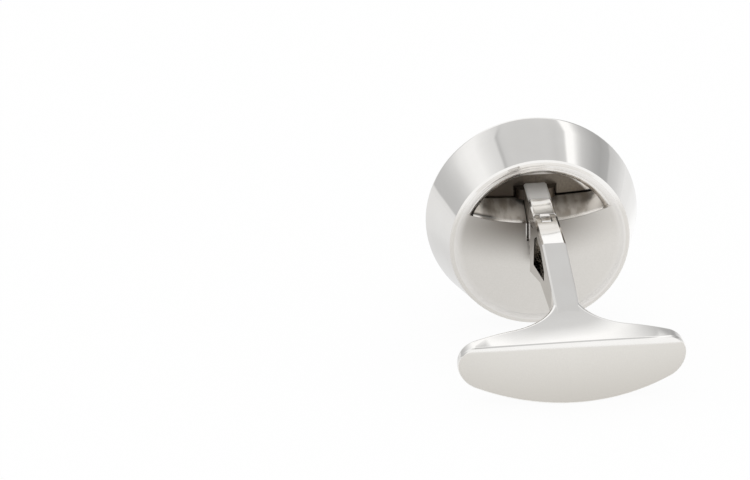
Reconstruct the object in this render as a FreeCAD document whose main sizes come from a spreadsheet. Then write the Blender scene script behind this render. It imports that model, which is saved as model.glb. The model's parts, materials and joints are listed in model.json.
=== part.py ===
# Cufflink: a conical head with a stone in front and, behind, a hinged arm that ends in an oval toggle.
# The pieces are drawn along the head's axis: x along the toggle, y from the toggle to the stone, z up,
# with y = 0 at the widest circle of the head. At the end all of them take the place of a cufflink that lies
# on a table, on the lip of its head and the lower edge of its toggle.
import FreeCAD, Part
import math
import os
from types import SimpleNamespace
import Sketcher

# Driving dimensions: millimetres, and degrees where the name ends in angle
SIZES = {
    # conical cup of the head
    "head_front_radius": 8.5,
    "head_depth": 5.04,
    "cone_angle": 15.8,
    "cup_wall": 0.75,
    "cup_floor": 2.1,
    "lip_round": 0.4,
    "rim_wall": 0.3,
    "rim_bevel": 0.12,
    "seam_chamfer": 0.06,
    # stone in the front of the cup
    "lip_width": 0.7,
    "stone_gap": 0.05,
    "girdle_height": 0.5,
    "crown_height": 1.4,
    "crown_width": 2.15,
    # back plate with its half-moon opening
    "plate_thickness": 0.6,
    "plate_gap": 0.02,
    "rim_width": 0.4,
    "field_recess": 0.2,
    "opening_land": 0.09,
    "opening_bevel": 0.55,
    "ledge_radius": 15.0,
    "ledge_low": 1.65,
    "ledge_thickness": 0.5,
    "crease_end_rise": 0.294,
    "crease_bow": 0.27,
    "notch_gap": 0.08,
    # fixed post and its solder
    "arm_width": 1.85,
    "arm_top": 3.85,
    "post_low": 0.2,
    "post_reach": 5.85,
    "beak_tip_thickness": 1.15,
    "beak_root_thickness": 1.65,
    "solder_leg": 0.8,
    "solder_rise": 0.9,
    "solder_round": 1.1,
    "edge_bevel": 0.16,
    # hinge
    "hinge_back": 8.4,
    "knuckle_radius": 0.6,
    "cam_step": 0.1,
    "tongue_width": 0.75,
    "pin_radius": 0.24,
    "running_gap": 0.03,
    "press_gap": 0.01,
    "side_gap": 0.06,
    "stop_gap": 0.05,
    "sweep_gap": 0.12,
    # arm with its side window
    "heel_drop": 2.0,
    "bend_back": 12.8,
    "slope_foot": 0.355,
    "belly_back": 11.9,
    "belly_height": 0.06,
    "neck_height": 0.45,
    "window_roof": 0.9,
    "window_sill": 1.65,
    "heel_wall_low": 2.1,
    "heel_wall_high": 2.55,
    "heel_wall_height": 2.1,
    "window_front": 9.75,
    "window_crown": 12.0,
    "window_tip": 14.0,
    "window_tip_high": 2.1,
    "window_tip_low": 1.25,
    # leaf spring
    "spring_width": 0.7,
    "spring_thickness": 0.22,
    "spring_gap": 0.02,
    "spring_reach": 0.15,
    "spring_kink": 2.3,
    # oval toggle
    "toggle_half_length": 8.52,
    "toggle_half_height": 2.58,
    "toggle_drop": 0.88,
    "toggle_end_round": 1.75,
    "toggle_bow": 2.23,
    "face_back": 24.83,
    "edge_round": 0.4,
    "toggle_depth": 3.43,
    "tip_thickness": 0.8,
    "flare_round": 3.4,
    "saddle_hollow": 0.34,
    "saddle_round": 0.6,
    # length by which a cut runs past what it cuts
    "overrun": 0.5,
}
# Point on the knuckle's circle, half way from straight out to straight down
DIAGONAL_SHARE = math.sqrt(0.5)
# Where the spring's two faces stand on the window's sill, from its heel end
SPRING_FOOT_SHARES = (0.02, 0.06)
STONE_SIDES = 16
# Narrow bevels that round the cup's lip
LIP_BEVELS = 4


class Size:
    """A length or ratio: its number, and the formula that binds it to the sheet."""

    def __init__(self, number, formula):
        self.number = number
        self.formula = formula

    def __add__(self, other):
        return Size(self.number + other.number, f"({self.formula} + {other.formula})")

    def __sub__(self, other):
        return Size(self.number - other.number, f"({self.formula} - {other.formula})")

    def __mul__(self, other):
        if not isinstance(other, Size):
            other = Size(other, repr(other))
        return Size(self.number * other.number, f"({self.formula} * {other.formula})")

    def __truediv__(self, other):
        if not isinstance(other, Size):
            other = Size(other, repr(other))
        return Size(self.number / other.number, f"({self.formula} / {other.formula})")

    def __neg__(self):
        return Size(-self.number, f"(0 - {self.formula})")


def root(value):
    return Size(math.sqrt(value.number), f"sqrt({value.formula})")


def turned(function, angle):
    """Sine, cosine or tangent of an angle of the sheet."""
    return Size(getattr(math, function)(math.radians(angle.number)), f"{function}({angle.formula})")


ZERO = Size(0.0, "0")
RIGHT_ANGLE = Size(90.0, "90")
doc = FreeCAD.newDocument("Cufflink")
sheet = doc.addObject("Spreadsheet::Sheet", "Sizes")
for row, (alias, number) in enumerate(SIZES.items(), start=1):
    sheet.set(f"A{row}", alias)
    sheet.set(f"B{row}", str(number))
    sheet.setAlias(f"B{row}", alias)
doc.recompute()
s = SimpleNamespace(**{alias: Size(number, f"Sizes.{alias}") for alias, number in SIZES.items()})


# Sketches and features

def new_body(label):
    body = doc.addObject("PartDesign::Body", label)
    body.Label = label
    return body


def new_sketch(body, role, name, offset=None):
    """Sketch on one of the body's own origin planes, moved along its normal by offset."""
    plane = next(item for item in body.Origin.OriginFeatures if item.Role == role)
    sketch = body.newObject("Sketcher::SketchObject", name)
    sketch.AttachmentSupport = [(plane, "")]
    sketch.MapMode = "FlatFace"
    if offset is not None:
        sketch.setExpression("AttachmentOffset.Base.z", offset.formula)
    return sketch


def bind(sketch, kind, places, value):
    """Dimension of a sketch, bound to its formula."""
    index = sketch.addConstraint(Sketcher.Constraint(kind, *places, value.number))
    sketch.setExpression(f"Constraints[{index}]", value.formula)


def arc_between(start, end, radius):
    """Arc of under half a turn, to the left for a positive radius, to the right for a negative one."""
    middle = (start + end) / 2
    chord = end - start
    left = FreeCAD.Vector(-chord.y, chord.x, 0).normalize()
    height = math.sqrt(radius ** 2 - (chord.Length / 2) ** 2)
    centre = middle + left * math.copysign(height, radius)
    first, last = (start, end) if radius > 0 else (end, start)
    angles = [math.atan2(point.y - centre.y, point.x - centre.x) for point in (first, last)]
    circle = Part.Circle(centre, FreeCAD.Vector(0, 0, 1), abs(radius))
    return Part.ArcOfCircle(circle, angles[0], angles[1])


def outline(sketch, corners):
    """Closed outline: each corner has its two places and, where an arc leads to the next, a signed radius."""
    points = [FreeCAD.Vector(corner[0].number, corner[1].number, 0) for corner in corners]
    ends = []
    for place, corner in enumerate(corners):
        start = points[place]
        end = points[(place + 1) % len(points)]
        if len(corner) == 2:
            index = sketch.addGeometry(Part.LineSegment(start, end))
            ends.append((index, 1, 2))
        else:
            radius = corner[2]
            index = sketch.addGeometry(arc_between(start, end, radius.number))
            ends.append((index, 1, 2) if radius.number > 0 else (index, 2, 1))
    for place, corner in enumerate(corners):
        index, first, last = ends[place]
        after = ends[(place + 1) % len(ends)]
        sketch.addConstraint(Sketcher.Constraint("Coincident", index, last, after[0], after[1]))
        for kind, axis, value in (("DistanceX", -2, corner[0]), ("DistanceY", -1, corner[1])):
            if value is ZERO:
                sketch.addConstraint(Sketcher.Constraint("PointOnObject", index, first, axis))
            else:
                bind(sketch, kind, (-1, 1, index, first), value)
        if len(corner) == 3:
            bind(sketch, "Radius", (index,), corner[2] if corner[2].number > 0 else -corner[2])


def rectangle(sketch, left, right, low, high):
    outline(sketch, [(left, low), (right, low), (right, high), (left, high)])


def circle(sketch, across, up, radius):
    centre = FreeCAD.Vector(across.number, up.number, 0)
    index = sketch.addGeometry(Part.Circle(centre, FreeCAD.Vector(0, 0, 1), radius.number))
    bind(sketch, "DistanceX", (-1, 1, index, 3), across)
    bind(sketch, "DistanceY", (-1, 1, index, 3), up)
    bind(sketch, "Radius", (index,), radius)


def extrude(body, kind, sketch, name, length=None, symmetric=False, back=False):
    """Pad or pocket; without a length the pocket goes right through, both ways."""
    feature = body.newObject(f"PartDesign::{kind}", name)
    feature.Profile = sketch
    if length is None:
        feature.SideType = "Symmetric"
        feature.Type = "ThroughAll"
    else:
        feature.SideType = "Symmetric" if symmetric else "One side"
        feature.Reversed = back
        feature.setExpression("Length", length.formula)
    sketch.Visibility = False
    return feature


def revolve(body, sketch, name):
    feature = body.newObject("PartDesign::Revolution", name)
    feature.Profile = sketch
    feature.ReferenceAxis = (sketch, ["V_Axis"])
    return feature


def soften(body, kind, base, name, size, test):
    """Fillet or chamfer on the edges of base that pass the test."""
    doc.recompute()
    names = [f"Edge{place}" for place, edge in enumerate(base.Shape.Edges, start=1) if test(edge)]
    feature = body.newObject(f"PartDesign::{kind}", name)
    feature.Base = (base, names)
    feature.setExpression("Radius" if kind == "Fillet" else "Size", size.formula)
    return feature


def near(value, target):
    return abs(value - target.number) < s.press_gap.number


# Sizes that several pieces share

half_width = s.arm_width / 2
seam = s.head_depth - s.field_recess - s.plate_thickness
lip_radius = s.head_front_radius - s.lip_round
lip_drop = s.lip_round * turned("sin", s.cone_angle)
seat_radius = lip_radius - s.lip_width
stone_radius = seat_radius - s.stone_gap
cone_start = lip_radius + s.lip_round * turned("cos", s.cone_angle)
hinge_height = s.arm_top - s.knuckle_radius
cam_flat = s.knuckle_radius - s.cam_step
shoulder = s.hinge_back - s.knuckle_radius - s.stop_gap
heel_back = s.post_reach + s.stop_gap
ledge_centre = s.ledge_low + s.ledge_radius
inner_back = s.face_back - s.toggle_depth
neck_back = inner_back - s.flare_round
sill_height = s.window_sill - s.heel_drop
toggle_top = s.toggle_half_height - s.toggle_drop
toggle_low = -(s.toggle_half_height + s.toggle_drop)


def cone_radius(depth):
    """Outer radius of the head at a depth behind its widest circle."""
    return cone_start - turned("tan", s.cone_angle) * (depth - lip_drop)


plate_radius = cone_radius(s.head_depth) - s.rim_wall
rim_inside = plate_radius - s.rim_width
half_moon_radius = rim_inside - s.opening_land


def half_moon_tip(radius):
    """Side and height of the point where the half-moon's upper arc meets its lower edge."""
    square = radius * radius - s.ledge_radius * s.ledge_radius + ledge_centre * ledge_centre
    height = square / (ledge_centre * 2)
    return root(radius * radius - height * height), height


# The ledge runs a little past the half-moon's tips, and its crease lies higher than its front edge all along
ledge_side, ledge_end = half_moon_tip(half_moon_radius + s.opening_land / 2)
crease_height = ledge_end + s.crease_end_rise - s.crease_bow
crease_radius = (ledge_side * ledge_side + s.crease_bow * s.crease_bow) / (s.crease_bow * 2)


# The arm's top falls evenly from its bend and meets the toggle's top a little behind its inner face
slope_back = inner_back + s.slope_foot
slope = (s.arm_top - toggle_top) / (slope_back - s.bend_back)


def slope_height(back):
    """Height of the arm's top face where it slopes down to the toggle."""
    return s.arm_top - slope * (back - s.bend_back)


def make_bezel_cup():
    """Turned cup: lip and seat for the stone, a floor, and a conical wall with a rebate for the plate."""
    body = new_body("bezel_cup")
    sketch = new_sketch(body, "XY_Plane", "CupProfile")
    rebate = plate_radius + s.plate_gap
    rim_depth = s.head_depth - s.rim_bevel
    lip = []
    for place in range(LIP_BEVELS):
        angle = (RIGHT_ANGLE + s.cone_angle) / LIP_BEVELS * place - s.cone_angle
        lip.append((lip_radius + s.lip_round * turned("cos", angle), s.lip_round * turned("sin", angle)))
    outline(sketch, [
        (ZERO, -s.cup_floor),
        (cone_radius(s.cup_floor) - s.cup_wall, -s.cup_floor),
        (cone_radius(seam) - s.cup_wall, -seam),
        (rebate, -seam),
        (rebate, s.seam_chamfer - s.head_depth),
        (rebate + s.seam_chamfer, -s.head_depth),
        (cone_radius(s.head_depth) - s.rim_bevel, -s.head_depth),
        (cone_radius(rim_depth), -rim_depth),
        *lip,
        (lip_radius, s.lip_round),
        (seat_radius, s.lip_round),
        (seat_radius, ZERO),
        (ZERO, ZERO),
    ])
    revolve(body, sketch, "CupTurned")
    return body


def polygon(sketch, radius):
    """Regular outline of the stone."""
    corners = []
    for place in range(STONE_SIDES):
        angle = math.tau * (place + 0.5) / STONE_SIDES
        corners.append((radius * math.cos(angle), radius * math.sin(angle)))
    outline(sketch, corners)


def make_stone():
    """Flat-backed round stone: a girdle, a crown of flat facets and a table."""
    body = new_body("stone")
    girdle = new_sketch(body, "XZ_Plane", "GirdleOutline")
    polygon(girdle, stone_radius)
    extrude(body, "Pad", girdle, "Girdle", s.girdle_height, back=True)
    crown_foot = new_sketch(body, "XZ_Plane", "CrownFoot", -s.girdle_height)
    polygon(crown_foot, stone_radius)
    table = new_sketch(body, "XZ_Plane", "Table", -(s.girdle_height + s.crown_height))
    polygon(table, stone_radius - s.crown_width)
    crown = body.newObject("PartDesign::AdditiveLoft", "Crown")
    crown.Profile = crown_foot
    crown.Sections = [table]
    crown.Ruled = True
    return body


def make_back_plate():
    """Turned plate with a raised rim, a half-moon opening and the ledge folded in along its lower edge."""
    body = new_body("back_plate")
    field = s.head_depth - s.field_recess
    profile = new_sketch(body, "XY_Plane", "PlateProfile")
    outline(profile, [
        (ZERO, -field),
        (rim_inside, -field),
        (rim_inside + s.field_recess, -s.head_depth),
        (plate_radius - s.seam_chamfer, -s.head_depth),
        (plate_radius, s.seam_chamfer - s.head_depth),
        (plate_radius, -seam),
        (ZERO, -seam),
    ])
    revolve(body, profile, "PlateTurned")

    opening = new_sketch(body, "XZ_Plane", "HalfMoon")
    inside = half_moon_radius - s.opening_bevel
    tip_side, tip_height = half_moon_tip(inside)
    outline(opening, [(-tip_side, tip_height, s.ledge_radius), (tip_side, tip_height, inside)])
    extrude(body, "Pocket", opening, "HalfMoonCut")

    side, side_height = half_moon_tip(half_moon_radius)
    bevel = new_sketch(body, "YZ_Plane", "BevelSection")
    outline(bevel, [
        (s.opening_bevel - field, inside),
        (-(field + s.overrun), inside),
        (-(field + s.overrun), half_moon_radius),
        (-field, half_moon_radius),
    ])
    groove = body.newObject("PartDesign::Groove", "HalfMoonBevel")
    groove.Profile = bevel
    groove.ReferenceAxis = (bevel, ["H_Axis"])
    groove.Midplane = True
    groove.setExpression("Angle", f"180 deg - 2 * atan({(side_height / side).formula})")
    bevel.Visibility = False

    sections = []
    for name, low, curve, depth in (("LedgeFront", s.ledge_low, s.ledge_radius, field),
                                    ("LedgeCrease", crease_height, crease_radius, s.cup_floor)):
        under = curve + s.ledge_thickness
        low_end = low + curve - root(under * under - ledge_side * ledge_side)
        high_end = low + curve - root(curve * curve - ledge_side * ledge_side)
        section = new_sketch(body, "XZ_Plane", name, depth)
        outline(section, [
            (-ledge_side, low_end, under),
            (ledge_side, low_end),
            (ledge_side, high_end, -curve),
            (-ledge_side, high_end),
        ])
        sections.append(section)
    ledge = body.newObject("PartDesign::AdditiveLoft", "Ledge")
    ledge.Profile = sections[0]
    ledge.Sections = sections[1:]
    ledge.Ruled = True

    notch = new_sketch(body, "XZ_Plane", "PostNotch")
    notch_half = half_width + s.notch_gap
    rectangle(notch, -notch_half, notch_half, s.post_low - s.notch_gap, s.arm_top)
    extrude(body, "Pocket", notch, "PostNotchCut")
    return body


def make_hinge_post():
    """Fixed post: a root on the cup's floor, a beak over the arm's heel and the cam that takes the pin."""
    body = new_body("hinge_post")
    side = new_sketch(body, "YZ_Plane", "PostSide")
    outline(side, [
        (-s.cup_floor, s.post_low),
        (-s.cup_floor, s.arm_top),
        (-shoulder, s.arm_top),
        (-shoulder, s.arm_top - s.beak_tip_thickness),
        (-s.post_reach, s.arm_top - s.beak_root_thickness),
        (-s.post_reach, s.post_low),
    ])
    extrude(body, "Pad", side, "Post", s.arm_width, symmetric=True)

    cam = new_sketch(body, "YZ_Plane", "CamSide")
    corner = root(s.knuckle_radius * s.knuckle_radius - cam_flat * cam_flat)
    inside = shoulder - s.beak_tip_thickness
    outline(cam, [
        (-inside, hinge_height - cam_flat),
        (-inside, hinge_height + cam_flat),
        (-(s.hinge_back + corner), hinge_height + cam_flat, s.knuckle_radius),
        (-(s.hinge_back + cam_flat), hinge_height + corner),
        (-(s.hinge_back + cam_flat), hinge_height - corner, s.knuckle_radius),
        (-(s.hinge_back + corner), hinge_height - cam_flat),
    ])
    extrude(body, "Pad", cam, "Cam", s.tongue_width, symmetric=True)

    bore = new_sketch(body, "YZ_Plane", "PostBore")
    circle(bore, -s.hinge_back, hinge_height, s.pin_radius + s.running_gap)
    drilled = extrude(body, "Pocket", bore, "PostBoreCut")
    soften(body, "Chamfer", drilled, "PostBevel", s.edge_bevel, is_top_edge)
    return body


def is_top_edge(edge):
    """Long edge at the side of the post's or arm's top face, flat or sloping."""
    first, last = [vertex.Point for vertex in edge.Vertexes] if len(edge.Vertexes) == 2 else (None, None)
    if first is None or not near(abs(first.x), half_width) or not near(last.x, Size(first.x, "")):
        return False
    if abs(first.y - last.y) <= s.knuckle_radius.number:
        return False
    flat = near(first.z, s.arm_top) and near(last.z, s.arm_top)
    sloping = all(near(point.z, slope_height(Size(-point.y, ""))) for point in (first, last))
    return flat or sloping


def make_solder(label, hand):
    """Concave bead of solder in the corner between the post's side and the cup's floor."""
    body = new_body(label)
    outer = half_width + s.solder_leg
    low = crease_height + crease_radius - root(crease_radius * crease_radius - outer * outer)
    section = new_sketch(body, "XY_Plane", "BeadSection", low)
    outline(section, [
        (half_width * hand, -s.cup_floor),
        (half_width * hand, -(s.cup_floor + s.solder_rise), s.solder_round * hand),
        (outer * hand, -s.cup_floor),
    ])
    extrude(body, "Pad", section, "Bead", s.arm_top - s.edge_bevel - low)
    return body


def make_hinge_pin():
    """Pin pressed into the arm's two cheeks, flush with them."""
    body = new_body("hinge_pin")
    sketch = new_sketch(body, "YZ_Plane", "PinSection")
    circle(sketch, -s.hinge_back, hinge_height, s.pin_radius)
    extrude(body, "Pad", sketch, "Pin", s.arm_width, symmetric=True)
    return body


def make_leaf_spring():
    """Blade that stands on the sill of the arm's window and lies along the post's cam."""
    body = new_body("leaf_spring")
    sketch = new_sketch(body, "YZ_Plane", "SpringSide")
    sill_run = s.window_tip - heel_back - s.heel_wall_low
    sill_rise = s.window_tip_low - sill_height
    feet = []
    for share in SPRING_FOOT_SHARES:
        feet.append((-(heel_back + s.heel_wall_low + sill_run * share), sill_height + sill_rise * share))
    face = s.hinge_back + cam_flat + s.spring_gap
    outline(sketch, [
        feet[0],
        (-face, s.spring_kink),
        (-face, hinge_height + s.spring_reach),
        (-(face + s.spring_thickness), hinge_height + s.spring_reach),
        (-(face + s.spring_thickness), s.spring_kink),
        feet[1],
    ])
    extrude(body, "Pad", sketch, "Blade", s.spring_width, symmetric=True)
    return body


def draw_oval(sketch, upper_height):
    """Outline of the toggle from behind: two round ends, a lower arc and an upper one as high as given."""
    end_centre = s.toggle_half_length - s.toggle_end_round
    arcs = []
    for height in (s.toggle_half_height, upper_height):
        square = end_centre * end_centre + height * height - s.toggle_end_round * s.toggle_end_round
        long_round = square / ((height - s.toggle_end_round) * 2)
        stretch = long_round - s.toggle_end_round
        join_up = (long_round - height) * s.toggle_end_round / stretch
        arcs.append((end_centre * long_round / stretch, join_up, long_round))
    (low_side, low_up, low_round), (high_side, high_up, high_round) = arcs
    outline(sketch, [
        (-low_side, -(s.toggle_drop + low_up), low_round),
        (low_side, -(s.toggle_drop + low_up), s.toggle_end_round),
        (high_side, high_up - s.toggle_drop, high_round),
        (-high_side, high_up - s.toggle_drop, s.toggle_end_round),
    ])


def make_toggle():
    """Oval toggle: a bar whose top rises in a hollow saddle to the neck, cut to a bow seen from above."""
    body = new_body("toggle_bar")
    reach = s.face_back + s.overrun
    span = s.toggle_half_length + s.overrun
    neck_end = neck_back - s.overrun
    saddle_rise = slope_height(neck_end) - toggle_top
    sections = []
    for name, back, rise in (("OvalFace", reach, ZERO),
                             ("OvalMiddle", (reach + neck_end) / 2, saddle_rise / 2 - s.saddle_hollow),
                             ("OvalNeck", neck_end, saddle_rise)):
        section = new_sketch(body, "XZ_Plane", name, back)
        draw_oval(section, s.toggle_half_height + rise)
        sections.append(section)
    bar = body.newObject("PartDesign::AdditiveLoft", "ToggleBar")
    bar.Profile = sections[0]
    bar.Sections = sections[1:]

    square = s.toggle_half_length * s.toggle_half_length + s.toggle_bow * s.toggle_bow
    face_round = square / (s.toggle_bow * 2)
    end_back = s.face_back - face_round + root(face_round * face_round - span * span)
    root_side = half_width + s.flare_round
    run = span - root_side
    drop = end_back - s.tip_thickness - inner_back
    inner_round = (run * run + drop * drop) / (drop * 2)
    bow = new_sketch(body, "XY_Plane", "ToggleBow")
    rectangle(bow, -(span + s.overrun), span + s.overrun, -(reach + s.overrun), s.overrun - neck_end)
    outline(bow, [
        (half_width, -neck_back),
        (-half_width, -neck_back, -s.flare_round),
        (-root_side, -inner_back, inner_round),
        (-span, -(end_back - s.tip_thickness)),
        (-span, -end_back, face_round),
        (span, -end_back),
        (span, -(end_back - s.tip_thickness), inner_round),
        (root_side, -inner_back, -s.flare_round),
    ])
    bowed = extrude(body, "Pocket", bow, "ToggleBowCut")

    def on_face(edge):
        middle = edge.valueAt((edge.FirstParameter + edge.LastParameter) / 2)
        from_axis = math.hypot(middle.x, middle.y + s.face_back.number - face_round.number)
        return near(from_axis, face_round)

    def on_saddle(edge):
        middle = edge.valueAt((edge.FirstParameter + edge.LastParameter) / 2)
        across = abs(edge.Vertexes[0].X - edge.Vertexes[-1].X) > s.edge_round.number
        inner = -(inner_back + s.edge_round).number < middle.y < -(neck_back + s.edge_round).number
        return across and inner and middle.z > toggle_low.number / 2

    edged = soften(body, "Fillet", bowed, "ToggleEdge", s.edge_round, on_face)
    soften(body, "Fillet", edged, "SaddleEdge", s.saddle_round, on_saddle)

    hollow = new_sketch(body, "YZ_Plane", "NeckHollow")
    outline(hollow, [
        (-neck_back, s.neck_height, s.flare_round),
        (-inner_back, s.neck_height - s.flare_round),
        (-inner_back, toggle_low - s.overrun),
        (s.overrun - neck_back, toggle_low - s.overrun),
        (s.overrun - neck_back, s.neck_height),
    ])
    extrude(body, "Pocket", hollow, "NeckHollowCut")
    return body


def make_toggle_arm():
    """Swinging arm: a heel, a side window, cheeks for the pin, a slot for the post's cam, and the toggle."""
    body = new_body("toggle_arm")
    seam_root = s.arm_top - s.beak_root_thickness - s.side_gap
    seam_tip = s.arm_top - s.beak_tip_thickness - s.side_gap
    slope_end = slope_back + s.overrun
    side = new_sketch(body, "YZ_Plane", "ArmSide")
    outline(side, [
        (-heel_back, -s.heel_drop),
        (-heel_back, seam_root),
        (-shoulder, seam_tip),
        (-shoulder, s.arm_top),
        (-s.bend_back, s.arm_top),
        (-slope_end, slope_height(slope_end)),
        (-slope_end, s.neck_height),
        (-neck_back, s.neck_height),
        (-s.belly_back, s.belly_height),
    ])
    arm = extrude(body, "Pad", side, "Arm", s.arm_width, symmetric=True)
    soften(body, "Chamfer", arm, "ArmBevel", s.edge_bevel, is_top_edge)
    joined = body.newObject("PartDesign::Boolean", "ToggleJoined")
    joined.setObjects([make_toggle()])
    joined.Type = "Fuse"

    diagonal = s.knuckle_radius * DIAGONAL_SHARE
    knuckle = new_sketch(body, "YZ_Plane", "KnuckleRound")
    outline(knuckle, [
        (-s.hinge_back, s.arm_top, -s.knuckle_radius),
        (diagonal - s.hinge_back, hinge_height - diagonal),
        (-shoulder, seam_tip),
        (s.overrun - shoulder, seam_tip),
        (s.overrun - shoulder, s.arm_top + s.overrun),
        (-s.hinge_back, s.arm_top + s.overrun),
    ])
    extrude(body, "Pocket", knuckle, "KnuckleRoundCut")

    window = new_sketch(body, "YZ_Plane", "ArmWindow")
    outline(window, [
        (-(heel_back + s.heel_wall_low), sill_height),
        (-(heel_back + s.heel_wall_high), s.heel_wall_height),
        (-s.window_front, s.arm_top - s.window_roof),
        (-s.window_crown, s.arm_top - s.window_roof),
        (-s.window_tip, s.window_tip_high),
        (-s.window_tip, s.window_tip_low),
    ])
    extrude(body, "Pocket", window, "ArmWindowCut")

    sweep = s.knuckle_radius + s.sweep_gap
    spring_back = s.hinge_back + cam_flat + s.spring_gap + s.spring_thickness + s.sweep_gap
    slot = new_sketch(body, "YZ_Plane", "CamSlot")
    outline(slot, [
        (sweep - s.hinge_back, hinge_height - sweep),
        (sweep - s.hinge_back, s.arm_top + s.overrun),
        (-(s.hinge_back + sweep), s.arm_top + s.overrun),
        (-(s.hinge_back + sweep), hinge_height + s.spring_reach + s.sweep_gap),
        (-spring_back, hinge_height + s.spring_reach + s.sweep_gap),
        (-spring_back, s.heel_wall_height),
        (-(heel_back + s.heel_wall_high), s.heel_wall_height),
        (-(heel_back + s.heel_wall_high), hinge_height - sweep),
    ])
    extrude(body, "Pocket", slot, "CamSlotCut", s.tongue_width + s.side_gap * 2, symmetric=True)

    bore = new_sketch(body, "YZ_Plane", "CheekBore")
    circle(bore, -s.hinge_back, hinge_height, s.pin_radius + s.press_gap)
    extrude(body, "Pocket", bore, "CheekBoreCut")
    return body


def rest_tilt():
    """Angle by which the head leans back when its lip and the toggle's lower edge stand on one level."""
    run = s.face_back - s.edge_round
    rise = lip_radius + toggle_low + s.edge_round
    rounds = s.edge_round - s.lip_round
    distance = math.hypot(run.number, rise.number)
    return math.atan2(rise.number, run.number) - math.asin(rounds.number / distance)


pieces = [
    make_bezel_cup(),
    make_stone(),
    make_back_plate(),
    make_hinge_post(),
    make_solder("solder_left", -1),
    make_solder("solder_right", 1),
    make_hinge_pin(),
    make_leaf_spring(),
    make_toggle_arm(),
]
doc.recompute()

# Stand the cufflink on the table: lean it back, then put the middle of its box's floor at the origin
lean = FreeCAD.Rotation(FreeCAD.Vector(1, 0, 0), math.degrees(rest_tilt()))
for piece in pieces:
    piece.Placement = FreeCAD.Placement(FreeCAD.Vector(), lean)
doc.recompute()
box = FreeCAD.BoundBox()
for piece in pieces:
    box.add(piece.Shape.optimalBoundingBox(False, False))
shift = FreeCAD.Vector(-box.Center.x, -box.Center.y, -box.ZMin)
for piece in pieces:
    piece.Placement = FreeCAD.Placement(shift, lean)
doc.recompute()

failed = [item.Name for item in doc.Objects if "Invalid" in item.State or "Error" in item.State]
if failed:
    raise RuntimeError(f"failed: {failed}")
for piece in pieces:
    if piece.Shape.isNull() or not piece.Shape.isValid() or len(piece.Shape.Solids) != 1:
        raise RuntimeError(f"{piece.Label} is not one sound solid")

os.makedirs("parts", exist_ok=True)
for piece in pieces:
    piece.Shape.exportStep(f"parts/{piece.Label}.step")
    print(piece.Label, "volume", round(piece.Shape.Volume, 3))
hinge = piece.Placement.multVec(FreeCAD.Vector(0, -s.hinge_back.number, hinge_height.number))
print("lean", round(math.degrees(rest_tilt()), 3), "hinge", [round(value, 4) for value in hinge])
print("box", [round(value, 3) for value in (box.XLength, box.YLength, box.ZLength)])
print("shift", [round(value, 4) for value in shift])
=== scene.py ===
import json
import math
import bmesh
import bpy
import numpy
from mathutils import Matrix, Vector


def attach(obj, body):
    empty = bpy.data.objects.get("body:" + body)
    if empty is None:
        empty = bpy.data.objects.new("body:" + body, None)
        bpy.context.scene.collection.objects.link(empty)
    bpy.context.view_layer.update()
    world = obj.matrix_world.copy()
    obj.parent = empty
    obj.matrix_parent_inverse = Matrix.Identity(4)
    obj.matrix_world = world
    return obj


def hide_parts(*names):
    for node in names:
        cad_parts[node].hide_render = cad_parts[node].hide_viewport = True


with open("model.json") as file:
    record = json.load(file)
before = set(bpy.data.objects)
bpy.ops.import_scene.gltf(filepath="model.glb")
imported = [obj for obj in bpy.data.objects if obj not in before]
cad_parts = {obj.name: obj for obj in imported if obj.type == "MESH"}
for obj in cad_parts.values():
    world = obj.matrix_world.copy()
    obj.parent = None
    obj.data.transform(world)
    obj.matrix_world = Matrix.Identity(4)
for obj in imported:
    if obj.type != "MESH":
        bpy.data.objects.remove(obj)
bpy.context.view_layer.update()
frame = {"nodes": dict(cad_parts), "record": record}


# Bezel cup
# The head is a turned brass cup, plated and buffed to a mirror, that widens towards the stone. Only the floor
# of its hollow stays dull, as the tool left it, and its small end takes the back plate in a rebate.

# The head's own axis and the middle of its widest circle come from the mount on the stone's table
TABLE_HEIGHT = 1.9e-3
table_mount = next(mount for mount in frame["record"]["mounts"] if mount["name"] == "front_face")
HEAD_AXIS = Vector(table_mount["axis"])
HEAD_MIDDLE = Vector(table_mount["pos_m"]) - HEAD_AXIS * TABLE_HEIGHT
HEAD_LEAN = math.atan2(HEAD_AXIS.z, HEAD_AXIS.y)
MM = 1000.0

# Points this near are one point, faces that meet this flat are one face, and a sharper turn is a crease
JOIN_DISTANCE = 2e-6
FLAT_ANGLE = math.radians(0.5)
CREASE_ANGLE = math.radians(30.0)

# The groove between the cup and its plate
SEAM_RADIUS = 6.8e-3
SEAM_BACK = 5.04e-3
LIPS_BACK = 4.9e-3
LIP_SLACK = 3e-5

# The turned bands lie outside the half-moon, and a ring's normals are sorted by their angle from the rear
BANDS_RADIUS = 5.7e-3
RINGS_PER_METRE = 1e5
BACKWARD_ANGLE = 2.6
RING_CREASE = 0.2
SIDEWAYS_LIMIT = 0.2

# The tool that hollowed the cup had a round nose
FLOOR_BACK = 2.1e-3
FLOOR_RADIUS = 7.17e-3
FLOOR_SLACK = 1e-4
NOSE_CUT = 2.0e-3
NOSE_STEPS = 10

# Bounds of the finishes in millimetres along the head's own axes, each from outside to inside
CUP_SLOPE = math.tan(math.radians(15.8))
WALL_MIDDLE_MM = 8.1
IN_WALL_MM = (0.1, 0.2)
BEHIND_STONE_MM = (-1.0, -1.2)
FLOOR_EDGE_MM = (5.2, 4.9)
FLOOR_LEFT_SHADE_MM = (0.5, -2.5)
CLEAN_FLOOR_MM = (4.5, 4.7)
NARROW_END_MM = (-4.85, -4.95)
UNDER_TOP_MM = (4.5, 2.0)
CUP_HAZE_MM = 2.0
TURNING_MM = 0.15


def linear(code):
    """Linear colour of an sRGB hex value."""
    parts = [int(code[place:place + 2], 16) / 255 for place in (1, 3, 5)]
    return [part / 12.92 if part <= 0.04045 else ((part + 0.055) / 1.055) ** 2.4 for part in parts] + [1.0]


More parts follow.
